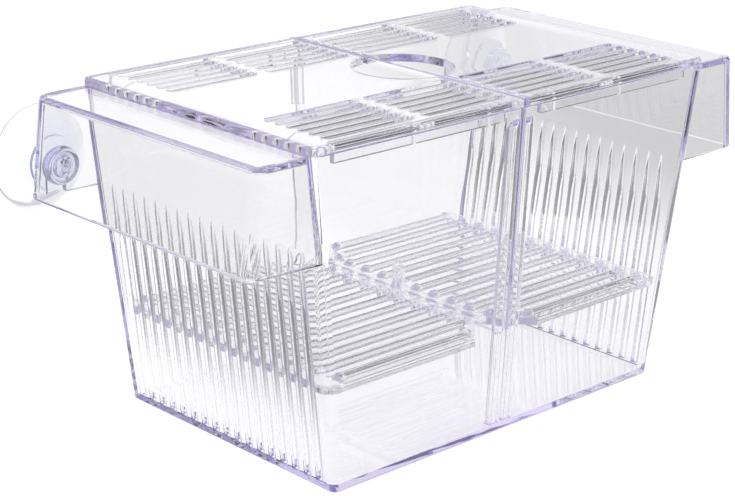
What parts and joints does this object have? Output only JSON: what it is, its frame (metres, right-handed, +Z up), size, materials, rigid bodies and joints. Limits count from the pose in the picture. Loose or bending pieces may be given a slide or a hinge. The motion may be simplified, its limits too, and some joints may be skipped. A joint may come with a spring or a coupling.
{
  "type": "fish breeding box",
  "caption": "Clear tapered hang-in breeding box with a removable divider, slotted grids, split slotted lid with a finger hole, hollow side wings and suction cups.",
  "frame": {"origin": "middle of the tub's flat underside, on the surface that it stands on", "axes": "+X along the long side, +Y towards the glass that the cups stick to, +Z up"},
  "size_m": [0.2146, 0.1068, 0.1025],
  "materials": {
    "clear_tub": "clear, polished, faint violet tint in the edges",
    "clear_lid": "clear, polished, faint violet tint in the edges",
    "clear_divider": "clear, polished, violet in its cut edge",
    "clear_grid": "clear, polished",
    "soft_cup": "soft, clear, glossy"
  },
  "bodies": {
    "tub": {"tub": "clear_tub"},
    "grid_left": {"grid_left": "clear_grid"},
    "grid_right": {"grid_right": "clear_grid"},
    "lid_left": {"lid_left": "clear_lid"},
    "lid_right": {"lid_right": "clear_lid"},
    "divider": {"divider": "clear_divider"},
    "suction_cup_left": {"suction_cup_left": "soft_cup"},
    "suction_cup_right": {"suction_cup_right": "soft_cup"}
  },
  "joints": [
    {"name": "grid_left_lift", "type": "slide", "parent": "tub", "child": "grid_left", "axis": [0, 0, 1], "range_m": [0, 0.08]},
    {"name": "grid_right_lift", "type": "slide", "parent": "tub", "child": "grid_right", "axis": [0, 0, 1], "range_m": [0, 0.08]},
    {"name": "lid_left_lift", "type": "slide", "parent": "grid_left", "child": "lid_left", "axis": [0, 0, 1], "range_m": [0, 0.06]},
    {"name": "lid_right_lift", "type": "slide", "parent": "grid_right", "child": "lid_right", "axis": [0, 0, 1], "range_m": [0, 0.06]},
    {"name": "divider_lift", "type": "slide", "parent": "tub", "child": "divider", "axis": [0, 0, 1], "range_m": [0, 0.08]},
    {"name": "suction_cup_left_slide", "type": "slide", "parent": "tub", "child": "suction_cup_left", "axis": [0, 0, -1], "range_m": [0, 0.015]},
    {"name": "suction_cup_right_slide", "type": "slide", "parent": "tub", "child": "suction_cup_right", "axis": [0, 0, -1], "range_m": [0, 0.015]}
  ]
}
